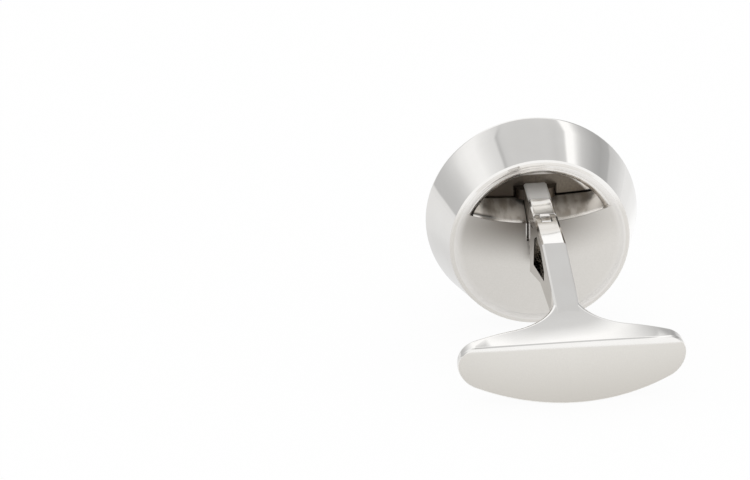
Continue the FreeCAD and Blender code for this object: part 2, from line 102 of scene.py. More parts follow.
def add(tree, kind, inputs=None, **settings):
    """Adds a node: its settings are attributes, and an input is linked where it is a socket, else set."""
    made = tree.nodes.new(kind)
    for name, value in settings.items():
        setattr(made, name, value)
    for key, value in (inputs or {}).items():
        if isinstance(value, bpy.types.NodeSocket):
            tree.links.new(value, made.inputs[key])
        else:
            made.inputs[key].default_value = value
    return made


def new_metal(name):
    """Metal without its finish, its node tree, and coordinates in millimetres along the head's own axes."""
    material = bpy.data.materials.new(name)
    material.use_nodes = True
    tree = material.node_tree
    tree.nodes["Principled BSDF"].inputs["Metallic"].default_value = 1.0
    back = Matrix.Rotation(-HEAD_LEAN, 3, "X")
    place = add(tree, "ShaderNodeMapping", {
        "Vector": add(tree, "ShaderNodeTexCoord").outputs["Object"],
        "Location": -(back @ HEAD_MIDDLE) * MM,
        "Rotation": (-HEAD_LEAN, 0.0, 0.0),
        "Scale": (MM, MM, MM),
    }).outputs["Vector"]
    return material, tree, place


def finish_metal(tree, finish):
    """Links what a finish is made of to the metal's shader."""
    shader = tree.nodes["Principled BSDF"]
    for name, socket in finish.items():
        tree.links.new(socket, shader.inputs[name])


def region(tree, *edges):
    """Mask that is 1 where every value has passed its inside bound, 0 before an outside one, soft between."""
    mask = None
    for value, (outside, inside) in edges:
        soft = add(tree, "ShaderNodeMapRange", {"Value": value, "From Min": outside, "From Max": inside},
                   interpolation_type="SMOOTHSTEP").outputs["Result"]
        if mask is None:
            mask = soft
        else:
            mask = add(tree, "ShaderNodeMath", {0: mask, 1: soft}, operation="MULTIPLY").outputs["Value"]
    return mask


def distance_from(tree, place, centre, stretch):
    """Distance from a centre, with each direction counted as much as stretch says."""
    step = add(tree, "ShaderNodeVectorMath", {0: place, 1: centre}, operation="SUBTRACT").outputs["Vector"]
    counted = add(tree, "ShaderNodeVectorMath", {0: step, 1: stretch}, operation="MULTIPLY").outputs["Vector"]
    return add(tree, "ShaderNodeVectorMath", {0: counted}, operation="LENGTH").outputs["Value"]


def merged_copy(name, node, bevel=0.0, crease=CREASE_ANGLE):
    """Copy of a CAD node with its triangles joined into faces, smooth but for creases, maybe bevelled."""
    mesh = frame["nodes"][node].data.copy()
    mesh.materials.clear()
    work = bmesh.new()
    work.from_mesh(mesh)
    bmesh.ops.remove_doubles(work, verts=work.verts, dist=JOIN_DISTANCE)
    bmesh.ops.dissolve_limit(work, angle_limit=FLAT_ANGLE, verts=work.verts, edges=work.edges)
    for face in work.faces:
        face.smooth = True
    for edge in work.edges:
        edge.smooth = edge.calc_face_angle(math.pi) < crease
    work.to_mesh(mesh)
    work.free()
    if "custom_normal" in mesh.attributes:
        mesh.attributes.remove(mesh.attributes["custom_normal"])
    piece = bpy.data.objects.new(name, mesh)
    bpy.context.scene.collection.objects.link(piece)
    if bevel:
        edges = piece.modifiers.new("BrokenEdges", "BEVEL")
        edges.limit_method = "ANGLE"
        edges.angle_limit = crease
        edges.width = bevel
        edges.segments = 2
        edges.use_clamp_overlap = True
    normals = piece.modifiers.new("EvenNormals", "WEIGHTED_NORMAL")
    normals.keep_sharp = True
    return piece


def turned_place(point):
    """Distance of a point along the head's axis, and from it."""
    along = (point - HEAD_MIDDLE).dot(HEAD_AXIS)
    return along, (point - HEAD_MIDDLE - HEAD_AXIS * along).length


def round_floor(mesh):
    """Rounds the corner between the floor and the wall of the cup's hollow."""
    work = bmesh.new()
    work.from_mesh(mesh)
    corner = []
    for vertex in work.verts:
        along, radius = turned_place(vertex.co)
        if abs(along + FLOOR_BACK) < FLOOR_SLACK and abs(radius - FLOOR_RADIUS) < FLOOR_SLACK:
            corner.append(vertex)
    loop = [edge for edge in work.edges if edge.verts[0] in corner and edge.verts[1] in corner]
    rounded = bmesh.ops.bevel(work, geom=loop, offset=NOSE_CUT, segments=NOSE_STEPS, profile=0.5,
                              affect="EDGES")
    for face in rounded["faces"]:
        face.smooth = True
    work.to_mesh(mesh)
    work.free()


def fill_seam(mesh):
    """Brings the lips of the seam between cup and plate level, since the plating filled the groove."""
    lips = set()
    for vertex in mesh.vertices:
        along, radius = turned_place(vertex.co)
        if along < -LIPS_BACK and abs(radius - SEAM_RADIUS) < LIP_SLACK:
            middle = HEAD_MIDDLE + HEAD_AXIS * along
            level = HEAD_AXIS * (along + SEAM_BACK)
            vertex.co = middle + (vertex.co - middle) * (SEAM_RADIUS / radius) - level
            lips.add(vertex.index)
    for edge in mesh.edges:
        if lips.issuperset(edge.vertices):
            edge.use_edge_sharp = True


def even_rings(piece):
    """Keeps the normals of a merged copy, made the same all round each ring that the lathe turned, and cuts
    the bands between these rings into even triangles."""
    work = bmesh.new()
    work.from_mesh(piece.data)
    bands = [face for face in work.faces
             if all(turned_place(vertex.co)[1] > BANDS_RADIUS for vertex in face.verts)]
    bmesh.ops.triangulate(work, faces=bands, quad_method="BEAUTY", ngon_method="BEAUTY")
    work.to_mesh(piece.data)
    work.free()
    bpy.context.view_layer.update()
    shown = piece.evaluated_get(bpy.context.evaluated_depsgraph_get()).to_mesh()
    normals = [corner.vector.copy() for corner in shown.corner_normals]
    rings = {}
    for corner in shown.loops:
        point = shown.vertices[corner.vertex_index].co
        along, radius = turned_place(point)
        outward = (point - HEAD_MIDDLE - HEAD_AXIS * along).normalized()
        normal = normals[corner.index]
        angle = math.atan2(normal.dot(outward), -normal.dot(HEAD_AXIS))
        sideways = abs(normal.dot(outward.cross(HEAD_AXIS)))
        if radius > BANDS_RADIUS and abs(angle) < BACKWARD_ANGLE and sideways < SIDEWAYS_LIMIT:
            ring = (round(along * RINGS_PER_METRE), round(radius * RINGS_PER_METRE))
            rings.setdefault(ring, []).append((angle, corner.index, outward))
    for ring in rings.values():
        ring.sort(key=lambda part: part[0])
        groups = [[ring[0]]]
        for before, part in zip(ring, ring[1:]):
            if part[0] - before[0] > RING_CREASE:
                groups.append([])
            groups[-1].append(part)
        for group in groups:
            mean = sum(part[0] for part in group) / len(group)
            for _, index, outward in group:
                normals[index] = outward * math.sin(mean) - HEAD_AXIS * math.cos(mean)
    piece.modifiers.clear()
    piece.data.normals_split_custom_set(normals)


# Plated brass, mirror polished: nearly colourless, with a faint haze from the buffing wheel. On the floor of
# the hollow the same plating lies on turned metal, so it is duller and darker there.
cup_metal, tree, place = new_metal("polished_plated_brass_cup")
across, along, up = add(tree, "ShaderNodeSeparateXYZ", {"Vector": place}).outputs
radius = distance_from(tree, place, (0.0, 0.0, 0.0), (1.0, 0.0, 1.0))
# Depth inside a cone that runs in the middle of the wall, from the floor to the seam
wall = add(tree, "ShaderNodeMath", {0: along, 1: CUP_SLOPE, 2: WALL_MIDDLE_MM},
           operation="MULTIPLY_ADD").outputs["Value"]
depth = add(tree, "ShaderNodeMath", {0: wall, 1: radius}, operation="SUBTRACT").outputs["Value"]
dull = region(tree, (depth, IN_WALL_MM), (along, BEHIND_STONE_MM), (radius, FLOOR_EDGE_MM))
# Patches of haze from the buffing wheel, and marks from the turning tool on the floor
haze = add(tree, "ShaderNodeTexNoise", {"Vector": place, "Scale": 1 / CUP_HAZE_MM,
                                        "Detail": 3.0}).outputs["Fac"]
marks = add(tree, "ShaderNodeTexNoise", {"Vector": place, "Scale": 1 / TURNING_MM,
                                         "Detail": 2.0}).outputs["Fac"]
mirror_tone = add(tree, "ShaderNodeMix", {"Factor": haze, "A": linear("#F3F1EE"), "B": linear("#F8F7F5")},
                  data_type="RGBA").outputs["Result"]
floor_tone = add(tree, "ShaderNodeMix", {"Factor": marks, "A": linear("#5A534B"), "B": linear("#8A8175")},
                 data_type="RGBA").outputs["Result"]
# Painted shade: the floor is darker on the left of the post
floor_tone = add(tree, "ShaderNodeMix", {"Factor": region(tree, (across, FLOOR_LEFT_SHADE_MM)), "A": floor_tone,
                                         "B": linear("#4D463F")}, data_type="RGBA").outputs["Result"]
# Above the post it stayed clean
floor_tone = add(tree, "ShaderNodeMix", {"Factor": region(tree, (up, CLEAN_FLOOR_MM)), "A": floor_tone,
                                         "B": linear("#F3F0EB")}, data_type="RGBA").outputs["Result"]
colour = add(tree, "ShaderNodeMix", {"Factor": dull, "A": mirror_tone, "B": floor_tone},
             data_type="RGBA").outputs["Result"]
gloss = add(tree, "ShaderNodeMapRange", {"Value": haze, "To Min": 0.03, "To Max": 0.07}).outputs["Result"]
grain = add(tree, "ShaderNodeMapRange", {"Value": marks, "To Min": 0.3, "To Max": 0.42}).outputs["Result"]
rough = add(tree, "ShaderNodeMix", {"Factor": dull, "A": gloss, "B": grain}).outputs["Result"]
# The narrow end round the plate was blasted together with it, and buffed again at the top
blasted = region(tree, (along, NARROW_END_MM), (up, UNDER_TOP_MM))
colour = add(tree, "ShaderNodeMix", {"Factor": blasted, "A": colour, "B": linear("#EAE7E2")},
             data_type="RGBA").outputs["Result"]
rough = add(tree, "ShaderNodeMix", {"Factor": blasted, "A": rough, "B": 0.5}).outputs["Result"]
finish_metal(tree, {"Base Color": colour, "Roughness": rough})

cup = merged_copy("bezel_cup_polished", "bezel_cup")
round_floor(cup.data)
fill_seam(cup.data)
even_rings(cup)
cup.data.materials.append(cup_metal)
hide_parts("bezel_cup")
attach(cup, "head")


# Stone
# A flat-backed round stone of dark glass, cut with a flat table and a crown of facets in two rows, and held
# in the cup's seat by its lip. It is the hidden front of the head.
GIRDLE_RADIUS = 7.35e-3
TABLE_RADIUS = 5.2e-3
CROWN_RADIUS = 6.5e-3
GIRDLE_HEIGHT = 0.5e-3
CROWN_HEIGHT = 1.1e-3
FACETS = 8
HALF_FACET = math.pi / FACETS
CLOUD_MM = 3.0

stone_tree = bpy.data.node_groups.new("FacetedStone", "GeometryNodeTree")
stone_tree.interface.new_socket("Geometry", in_out="INPUT", socket_type="NodeSocketGeometry")
stone_sizes = []
for label, size in (("Girdle radius", GIRDLE_RADIUS), ("Crown radius", CROWN_RADIUS),
                    ("Table radius", TABLE_RADIUS)):
    socket = stone_tree.interface.new_socket(label, in_out="INPUT", socket_type="NodeSocketFloat")
    stone_sizes.append((socket.identifier, size))
stone_tree.interface.new_socket("Geometry", in_out="OUTPUT", socket_type="NodeSocketGeometry")
given = add(stone_tree, "NodeGroupInput")
rings = add(stone_tree, "GeometryNodeJoinGeometry")
for label, count, turn, height in (("Girdle radius", FACETS * 2, 0.0, 0.0),
                                   ("Girdle radius", FACETS * 2, 0.0, GIRDLE_HEIGHT),
                                   ("Crown radius", FACETS, 0.0, CROWN_HEIGHT),
                                   ("Table radius", FACETS, HALF_FACET, TABLE_HEIGHT)):
    ring = add(stone_tree, "GeometryNodeMeshCircle", {"Vertices": count, "Radius": given.outputs[label]})
    raised = add(stone_tree, "GeometryNodeTransform", {
        "Geometry": ring.outputs["Mesh"],
        "Translation": (0.0, 0.0, height),
        "Rotation": (0.0, 0.0, turn),
    })
    stone_tree.links.new(raised.outputs["Geometry"], rings.inputs["Geometry"])
hull = add(stone_tree, "GeometryNodeConvexHull", {"Geometry": rings.outputs["Geometry"]})
placed = add(stone_tree, "GeometryNodeTransform", {
    "Geometry": hull.outputs["Convex Hull"],
    "Translation": HEAD_MIDDLE,
    "Rotation": (HEAD_LEAN - math.pi / 2, 0.0, 0.0),
})
whole = add(stone_tree, "GeometryNodeRealizeInstances", {"Geometry": placed.outputs["Geometry"]})

# Dark glass, pressed and polished: black with a cold grey depth that changes a little in clouds
stone_glass = bpy.data.materials.new("dark_polished_glass")
stone_glass.use_nodes = True
tree = stone_glass.node_tree
shader = tree.nodes["Principled BSDF"]
clouds = add(tree, "ShaderNodeTexNoise", {
    "Vector": add(tree, "ShaderNodeTexCoord").outputs["Object"],
    "Scale": MM / CLOUD_MM,
    "Detail": 2.0,
}).outputs["Fac"]
colour = add(tree, "ShaderNodeMix", {"Factor": clouds, "A": linear("#0A0A0C"), "B": linear("#1C1D22")},
             data_type="RGBA").outputs["Result"]
tree.links.new(colour, shader.inputs["Base Color"])
shader.inputs["Roughness"].default_value = 0.03
shader.inputs["IOR"].default_value = 1.6
painted = add(stone_tree, "GeometryNodeSetMaterial", {"Geometry": whole.outputs["Geometry"],
                                                      "Material": stone_glass})
add(stone_tree, "NodeGroupOutput", {"Geometry": painted.outputs["Geometry"]})

stone_maker = bpy.data.objects.new("stone_maker", bpy.data.meshes.new("stone_maker"))
bpy.context.scene.collection.objects.link(stone_maker)
cutter = stone_maker.modifiers.new("FacetedStone", "NODES")
cutter.node_group = stone_tree
for identifier, size in stone_sizes:
    cutter[identifier] = size
bpy.context.view_layer.update()
cut = bpy.data.meshes.new_from_object(stone_maker.evaluated_get(bpy.context.evaluated_depsgraph_get()))
bpy.data.objects.remove(stone_maker)
stone = bpy.data.objects.new("faceted_stone", cut)
bpy.context.scene.collection.objects.link(stone)
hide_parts("stone")
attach(stone, "head")


# Back plate
# A stamped and turned brass plate that closes the head from behind, with a half-moon opening, a ledge folded
# in along the opening's lower edge and a raised rim. Its field is blasted to a satin and its rim polished.
PLATE_CREASE = math.radians(50.0)
FIELD_BACK_MM = 4.84
RIM_INSIDE_MM = 6.39
ON_FIELD_MM = (0.06 - FIELD_BACK_MM, 0.03 - FIELD_BACK_MM)
IN_RIM_MM = (RIM_INSIDE_MM + 0.3, RIM_INSIDE_MM - 0.4)
FOLDED_MM = (0.1 - FIELD_BACK_MM, 0.5 - FIELD_BACK_MM)
POST_CORNER_MM = (-1.2, 0.0, 2.0)
POST_CORNER_STRETCH = (0.45, 0.0, 1.0)
CORNER_SHADE_MM = (0.0, 4.1)
LEDGE_STRETCH = (1.0, 0.4, 0.4)
PRESS_MARK_LEVELS = (0.35, 0.6)
SHADOW_RIGHT_MM = (1.0, 1.3)
SHADOW_DEEP_MM = (-2.4, -2.25)
LEFT_END_SHADOW_MM = (-3.2, -3.9)
LEFT_END_SHADOW_BACK_MM = (-4.1, -4.5)
NOTCH_SIDE_MM = (1.12, 1.06)
NOTCH_FOOT_MM = (0.2, 0.4)
SEAM_BAND_MM = (5.9, 6.3)
PITTED_MM = (6.2, 5.8)
PIT_DEPTH = 3e-6
GRIT_MM = 0.12
RIM_HAZE_MM = 2.5
PRESS_MARKS_MM = 0.7

# Satin plating: a fine even grit takes the mirror away, and it looks warmer than the polished metal
plate_metal, tree, place = new_metal("satin_plated_brass_plate")
across, along, up = add(tree, "ShaderNodeSeparateXYZ", {"Vector": place}).outputs
radius = distance_from(tree, place, (0.0, 0.0, 0.0), (1.0, 0.0, 1.0))
off_middle = add(tree, "ShaderNodeMath", {0: across}, operation="ABSOLUTE").outputs["Value"]
# The folded ledge and the bevel lie deeper than the field
folded = region(tree, (along, FOLDED_MM))
# The edge of the notch beside the post was rubbed bright
rubbed = region(tree, (off_middle, NOTCH_SIDE_MM), (up, NOTCH_FOOT_MM))
satin = add(tree, "ShaderNodeMath", {0: region(tree, (along, ON_FIELD_MM), (radius, IN_RIM_MM)), 1: rubbed},
            operation="SUBTRACT", use_clamp=True).outputs["Value"]
# Blasting grit is about 0.05 mm, and it is drawn coarser so that it shows
grit = add(tree, "ShaderNodeTexNoise", {"Vector": place, "Scale": 1 / GRIT_MM, "Detail": 2.0}).outputs["Fac"]
satin_tone = add(tree, "ShaderNodeMix", {"Factor": grit, "A": linear("#E1DED8"), "B": linear("#EBE8E4")},
                 data_type="RGBA").outputs["Result"]
# Below the half-moon the satin is painted darker towards the post, as painted shade under the post and the
# arm
from_post = distance_from(tree, place, POST_CORNER_MM, POST_CORNER_STRETCH)
satin_tone = add(tree, "ShaderNodeMix", {"Factor": region(tree, (from_post, CORNER_SHADE_MM)),
                                         "A": linear("#857F78"), "B": satin_tone},
                 data_type="RGBA").outputs["Result"]
# The rim was buffed in patches
haze = add(tree, "ShaderNodeTexNoise", {"Vector": place, "Scale": 1 / RIM_HAZE_MM,
                                        "Detail": 2.0}).outputs["Fac"]
rim_tone = add(tree, "ShaderNodeMix", {"Factor": haze, "A": linear("#EDEAE6"), "B": linear("#F5F3F0")},
               data_type="RGBA").outputs["Result"]
# The press left marks across the ledge
marks = add(tree, "ShaderNodeTexNoise", {
    "Vector": add(tree, "ShaderNodeVectorMath", {0: place, 1: LEDGE_STRETCH},
                  operation="MULTIPLY").outputs["Vector"],
    "Scale": 1 / PRESS_MARKS_MM,
    "Detail": 3.0,
}).outputs["Fac"]
ledge_tone = add(tree, "ShaderNodeMix", {"Factor": region(tree, (marks, PRESS_MARK_LEVELS)),
                                         "A": linear("#CBC3B9"), "B": linear("#F4EFE8")},
                 data_type="RGBA").outputs["Result"]
# Painted shadow along the ledge's corner with the floor, black in its right half
corner_shadow_tone = add(tree, "ShaderNodeMix", {"Factor": region(tree, (across, SHADOW_RIGHT_MM)),
                                        "A": linear("#5A534B"), "B": linear("#171310")},
                data_type="RGBA").outputs["Result"]
ledge_tone = add(tree, "ShaderNodeMix", {"Factor": region(tree, (along, SHADOW_DEEP_MM)), "A": ledge_tone,
                                         "B": corner_shadow_tone}, data_type="RGBA").outputs["Result"]
# Painted shadow on the left end of the ledge
left_end_shadow = region(tree, (across, LEFT_END_SHADOW_MM), (along, LEFT_END_SHADOW_BACK_MM))
ledge_tone = add(tree, "ShaderNodeMix", {"Factor": left_end_shadow, "A": ledge_tone, "B": linear("#2A2420")},
                 data_type="RGBA").outputs["Result"]
bare_tone = add(tree, "ShaderNodeMix", {"Factor": folded, "A": rim_tone, "B": ledge_tone},
                data_type="RGBA").outputs["Result"]
colour = add(tree, "ShaderNodeMix", {"Factor": satin, "A": bare_tone, "B": satin_tone},
             data_type="RGBA").outputs["Result"]
gloss = add(tree, "ShaderNodeMapRange", {"Value": folded, "To Min": 0.15, "To Max": 0.4}).outputs["Result"]
matt = add(tree, "ShaderNodeMapRange", {"Value": grit, "To Min": 0.4, "To Max": 0.5}).outputs["Result"]
rough = add(tree, "ShaderNodeMix", {"Factor": satin, "A": gloss, "B": matt}).outputs["Result"]
# Along the seam the rim is as dull as the end of the cup beside it
blasted = region(tree, (radius, SEAM_BAND_MM), (up, UNDER_TOP_MM))
rough = add(tree, "ShaderNodeMix", {"Factor": blasted, "A": rough, "B": 0.5}).outputs["Result"]
pitted = add(tree, "ShaderNodeMath", {0: satin, 1: region(tree, (radius, PITTED_MM))},
             operation="MULTIPLY").outputs["Value"]
pits = add(tree, "ShaderNodeBump", {"Height": grit, "Strength": pitted, "Distance": PIT_DEPTH})
finish_metal(tree, {"Base Color": colour, "Roughness": rough, "Normal": pits.outputs["Normal"]})

plate = merged_copy("back_plate_satin", "back_plate", crease=PLATE_CREASE)
fill_seam(plate.data)
even_rings(plate)
plate.data.materials.append(plate_metal)
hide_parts("back_plate")
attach(plate, "head")


# Hinge post
# A cast brass post, soldered to the cup's floor, that comes out of the half-moon and ends in a beak and a
# cam. Its top edges are bevelled and its top is polished; its sides are painted dark brown, as painted shade.
POST_BEVEL = 3e-5
SIDE_MM = (0.89, 0.92)
CAM_BACK_MM = (-7.8, -7.9)
CAM_UNDER_TOP_MM = (3.4, 3.2)
DEEP_MM = (-5.6, -4.4)
POST_HAZE_MM = 1.2

# Plated brass: a mirror on the top, and painted shade of dark brown on the sides
post_metal, tree, place = new_metal("polished_plated_brass_post")
across, along, up = add(tree, "ShaderNodeSeparateXYZ", {"Vector": place}).outputs
off_middle = add(tree, "ShaderNodeMath", {0: across}, operation="ABSOLUTE").outputs["Value"]
on_side = region(tree, (off_middle, SIDE_MM))
haze = add(tree, "ShaderNodeTexNoise", {"Vector": place, "Scale": 1 / POST_HAZE_MM,
                                        "Detail": 3.0}).outputs["Fac"]
mirror_tone = add(tree, "ShaderNodeMix", {"Factor": haze, "A": linear("#F2F0ED"), "B": linear("#F8F7F5")},
                  data_type="RGBA").outputs["Result"]
# Painted shade on the sides, for the dark pocket that they mirror
side_shade_tone = add(tree, "ShaderNodeMix", {"Factor": haze, "A": linear("#5A524A"), "B": linear("#857B70")},
                data_type="RGBA").outputs["Result"]
colour = add(tree, "ShaderNodeMix", {"Factor": on_side, "A": mirror_tone, "B": side_shade_tone},
             data_type="RGBA").outputs["Result"]
# Below its top the cam is painted grey, as painted shade in the joint, and its top stays a mirror like the
# knuckle
painted_grey = region(tree, (along, CAM_BACK_MM), (up, CAM_UNDER_TOP_MM))
colour = add(tree, "ShaderNodeMix", {"Factor": painted_grey, "A": colour, "B": linear("#7C7771")},
             data_type="RGBA").outputs["Result"]
gloss = add(tree, "ShaderNodeMapRange", {"Value": haze, "To Min": 0.04, "To Max": 0.09}).outputs["Result"]
# Deep in the pocket the wheel reached it less
deep = region(tree, (along, DEEP_MM))
rough = add(tree, "ShaderNodeMix", {"Factor": deep, "A": gloss, "B": 0.45}).outputs["Result"]
# Plating that was never polished scatters part of the light
unpolished = add(tree, "ShaderNodeMath", {0: deep, 1: on_side}, operation="MAXIMUM").outputs["Value"]
metallic = add(tree, "ShaderNodeMapRange", {"Value": unpolished, "To Min": 1.0, "To Max": 0.3})
finish_metal(tree, {"Metallic": metallic.outputs["Result"], "Base Color": colour, "Roughness": rough})

post = merged_copy("hinge_post_polished", "hinge_post", POST_BEVEL)
post.data.materials.append(post_metal)
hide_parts("hinge_post")
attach(post, "head")


# Solder
# Two beads of silver solder hold the post in the corner beside its root. They ran in by themselves, so they
# are uneven, and the heat left them dull and brown. The left one is painted darker, as painted shade.
RIPPLE_MM = 0.35
RIPPLE_DEPTH = 8e-5
LEFT_BEAD_MM = (0.5, -0.5)


def finish_node(node, material):
    """Gives its material to a CAD node that is shown as it is."""
    mesh = frame["nodes"][node].data
    mesh.materials.clear()
    mesh.materials.append(material)


# Silver solder as it flowed: ripples that are lighter and duller on their tops
solder_metal, tree, place = new_metal("flowed_silver_solder")
across = add(tree, "ShaderNodeSeparateXYZ", {"Vector": place}).outputs["X"]
runs = add(tree, "ShaderNodeTexNoise", {"Vector": place, "Scale": 1 / RIPPLE_MM,
                                        "Detail": 4.0}).outputs["Fac"]
colour = add(tree, "ShaderNodeMix", {"Factor": runs, "A": linear("#4A443D"), "B": linear("#756C62")},
             data_type="RGBA").outputs["Result"]
# Painted shade: the left bead is darker
colour = add(tree, "ShaderNodeMix", {"Factor": region(tree, (across, LEFT_BEAD_MM)), "A": colour,
                                     "B": linear("#3A342F")}, data_type="RGBA").outputs["Result"]
gloss = add(tree, "ShaderNodeMapRange", {"Value": runs, "To Min": 0.12, "To Max": 0.35}).outputs["Result"]
ripples = add(tree, "ShaderNodeBump", {"Height": runs, "Strength": 0.6, "Distance": RIPPLE_DEPTH})
finish_metal(tree, {"Base Color": colour, "Roughness": gloss, "Normal": ripples.outputs["Normal"]})
for bead in ("solder_left", "solder_right"):
    finish_node(bead, solder_metal)


# Hinge pin
# A short piece of drawn steel wire across the joint, on which the arm swings. It is pressed into the arm's
# cheeks and dressed flush with them.


def lined_steel(name, stretch, spacing, tones, gloss):
    """Steel with fine lines along the direction that stretch shortens, spaced in millimetres."""
    material, tree, place = new_metal(name)
    drawn = add(tree, "ShaderNodeVectorMath", {0: place, 1: stretch}, operation="MULTIPLY").outputs["Vector"]
    lines = add(tree, "ShaderNodeTexNoise", {"Vector": drawn, "Scale": 1 / spacing,
                                             "Detail": 2.0}).outputs["Fac"]
    colour = add(tree, "ShaderNodeMix", {"Factor": lines, "A": linear(tones[0]), "B": linear(tones[1])},
                 data_type="RGBA").outputs["Result"]
    rough = add(tree, "ShaderNodeMapRange", {"Value": lines, "To Min": gloss[0], "To Max": gloss[1]})
    finish_metal(tree, {"Base Color": colour, "Roughness": rough.outputs["Result"]})
    return material


# Drawn steel: bright, with lines from the die along the wire
PIN_STRETCH = (0.1, 1.0, 1.0)
PIN_LINES_MM = 0.05
pin_metal = lined_steel("drawn_steel_wire", PIN_STRETCH, PIN_LINES_MM, ("#C9C7C3", "#E2E0DC"), (0.14, 0.24))
finish_node("hinge_pin", pin_metal)


# Leaf spring
# A blade of rolled spring steel that stands in the arm's side window and presses on the post's cam, so that
# the arm clicks into both of its places.

# Rolled steel: grey from its hardening, with lines from the rolls along the blade
BLADE_STRETCH = (1.0, 1.0, 0.1)
BLADE_LINES_MM = 0.06
spring_metal = lined_steel("rolled_spring_steel", BLADE_STRETCH, BLADE_LINES_MM, ("#7B7874", "#A5A29D"),
                           (0.16, 0.28))
finish_node("leaf_spring", spring_metal)


# Toggle arm
# One brass casting: the swinging arm with its heel and side window, and the bowed oval toggle that goes
# through the cuff. Most of it is polished, and the toggle's outer face has the same satin as the plate.
FACE_ROUND_MM = 17.39
FACE_AXIS_MM = (0.0, -7.44, 0.0)
ON_FACE_MM = (FACE_ROUND_MM - 0.08, FACE_ROUND_MM - 0.03)
FACE_EDGE_MM = 1.35
FACE_EDGE_BOW = 0.0167
FACE_EDGE_TILT = 0.018
UNDER_EDGE_MM = (FACE_EDGE_MM + 0.1, FACE_EDGE_MM - 0.1)
LOW_EDGE_SHADE = (-2e-3, 6e-3)
FLAT_SIDE_MM = (1.05, 0.95)
BEFORE_NECK_MM = (-18.4, -17.6)
LEFT_BEVEL_MM = (-0.78, -0.81)
FLAT_TOP_MM = (-12.85, -12.7)
KNUCKLE_ROUND_MM = (-9.8, -9.2)
SLOT_SIDE_MM = (0.56, 0.52)
SLOT_END_MM = (-9.6, -9.5)
SLOT_TOP_MM = (3.83, 3.79)
KNUCKLE_FRONT_MM = (-8.6, -8.35)
FACE_PIT_DEPTH = 4e-6
ARM_HAZE_MM = 1.6

# Plated brass: a mirror where the wheel reached it, painted greyer at the joint and on the flat sides as
# painted shade and painted reflection
arm_metal, tree, place = new_metal("polished_plated_brass_arm")
across, along, up = add(tree, "ShaderNodeSeparateXYZ", {"Vector": place}).outputs
off_middle = add(tree, "ShaderNodeMath", {0: across}, operation="ABSOLUTE").outputs["Value"]
from_axis = distance_from(tree, place, FACE_AXIS_MM, (1.0, 1.0, 0.0))
# The rounded upper edge, which sinks towards both ends, was polished after the blast, more so on the right
square = add(tree, "ShaderNodeMath", {0: across, 1: across}, operation="MULTIPLY").outputs["Value"]
raised = add(tree, "ShaderNodeMath", {0: square, 1: FACE_EDGE_BOW, 2: up},
             operation="MULTIPLY_ADD").outputs["Value"]
raised = add(tree, "ShaderNodeMath", {0: across, 1: FACE_EDGE_TILT, 2: raised},
             operation="MULTIPLY_ADD").outputs["Value"]
satin = region(tree, (from_axis, ON_FACE_MM), (raised, UNDER_EDGE_MM))
# The grit of the plate's satin, and patches of haze from the buffing wheel
grit = add(tree, "ShaderNodeTexNoise", {"Vector": place, "Scale": 1 / GRIT_MM, "Detail": 2.0}).outputs["Fac"]
haze = add(tree, "ShaderNodeTexNoise", {"Vector": place, "Scale": 1 / ARM_HAZE_MM,
                                        "Detail": 3.0}).outputs["Fac"]
satin_tone = add(tree, "ShaderNodeMix", {"Factor": grit, "A": linear("#E3E0DB"), "B": linear("#EDEBE6")},
                 data_type="RGBA").outputs["Result"]
# Painted shade: the face is darker towards its lower edge, near the table
height = add(tree, "ShaderNodeSeparateXYZ", {
    "Vector": add(tree, "ShaderNodeTexCoord").outputs["Object"],
}).outputs["Z"]
satin_tone = add(tree, "ShaderNodeMix", {"Factor": region(tree, (height, LOW_EDGE_SHADE)),
                                         "A": linear("#CDC9C2"), "B": satin_tone},
                 data_type="RGBA").outputs["Result"]
mirror_tone = add(tree, "ShaderNodeMix", {"Factor": haze, "A": linear("#F2F0ED"), "B": linear("#F8F7F5")},
                  data_type="RGBA").outputs["Result"]
# The round of the knuckle is painted greyer than the top, as a painted reflection, and its front and the slot
# inside are painted darker, as painted shade in the joint
knuckle = region(tree, (along, KNUCKLE_ROUND_MM))
bare_tone = add(tree, "ShaderNodeMix", {"Factor": knuckle, "A": mirror_tone, "B": linear("#CFCCC7")},
                data_type="RGBA").outputs["Result"]
in_slot = region(tree, (off_middle, SLOT_SIDE_MM), (along, SLOT_END_MM), (up, SLOT_TOP_MM))
joint_shade = add(tree, "ShaderNodeMath", {0: in_slot, 1: region(tree, (along, KNUCKLE_FRONT_MM))},
              operation="MAXIMUM").outputs["Value"]
bare_tone = add(tree, "ShaderNodeMix", {"Factor": joint_shade, "A": bare_tone, "B": linear("#A8A39C")},
                data_type="RGBA").outputs["Result"]
# The arm's flat sides and the bevel on the left of its flat top are painted greyer, as painted shade
flat_side = region(tree, (off_middle, SIDE_MM), (off_middle, FLAT_SIDE_MM), (along, BEFORE_NECK_MM))
on_bevel = region(tree, (across, LEFT_BEVEL_MM), (along, FLAT_TOP_MM))
painted_grey = add(tree, "ShaderNodeMath", {0: flat_side, 1: on_bevel}, operation="MAXIMUM").outputs["Value"]
bare_tone = add(tree, "ShaderNodeMix", {"Factor": painted_grey, "A": bare_tone, "B": linear("#AFAAA4")},
                data_type="RGBA").outputs["Result"]
colour = add(tree, "ShaderNodeMix", {"Factor": satin, "A": bare_tone, "B": satin_tone},
             data_type="RGBA").outputs["Result"]
gloss = add(tree, "ShaderNodeMapRange", {"Value": haze, "To Min": 0.04, "To Max": 0.09}).outputs["Result"]
matt = add(tree, "ShaderNodeMapRange", {"Value": grit, "To Min": 0.4, "To Max": 0.5}).outputs["Result"]
rough = add(tree, "ShaderNodeMix", {"Factor": satin, "A": gloss, "B": matt}).outputs["Result"]
pits = add(tree, "ShaderNodeBump", {"Height": grit, "Strength": satin, "Distance": FACE_PIT_DEPTH})
finish_metal(tree, {"Base Color": colour, "Roughness": rough, "Normal": pits.outputs["Normal"]})

# Points of neighbouring CAD faces are joined where they lie this near. In a fit a near point weighs the most
SAME_PLACE = 1e-7
NEAREST_SQUARE_MM = 1e-6
FIT_CUTOFF = 1e-6


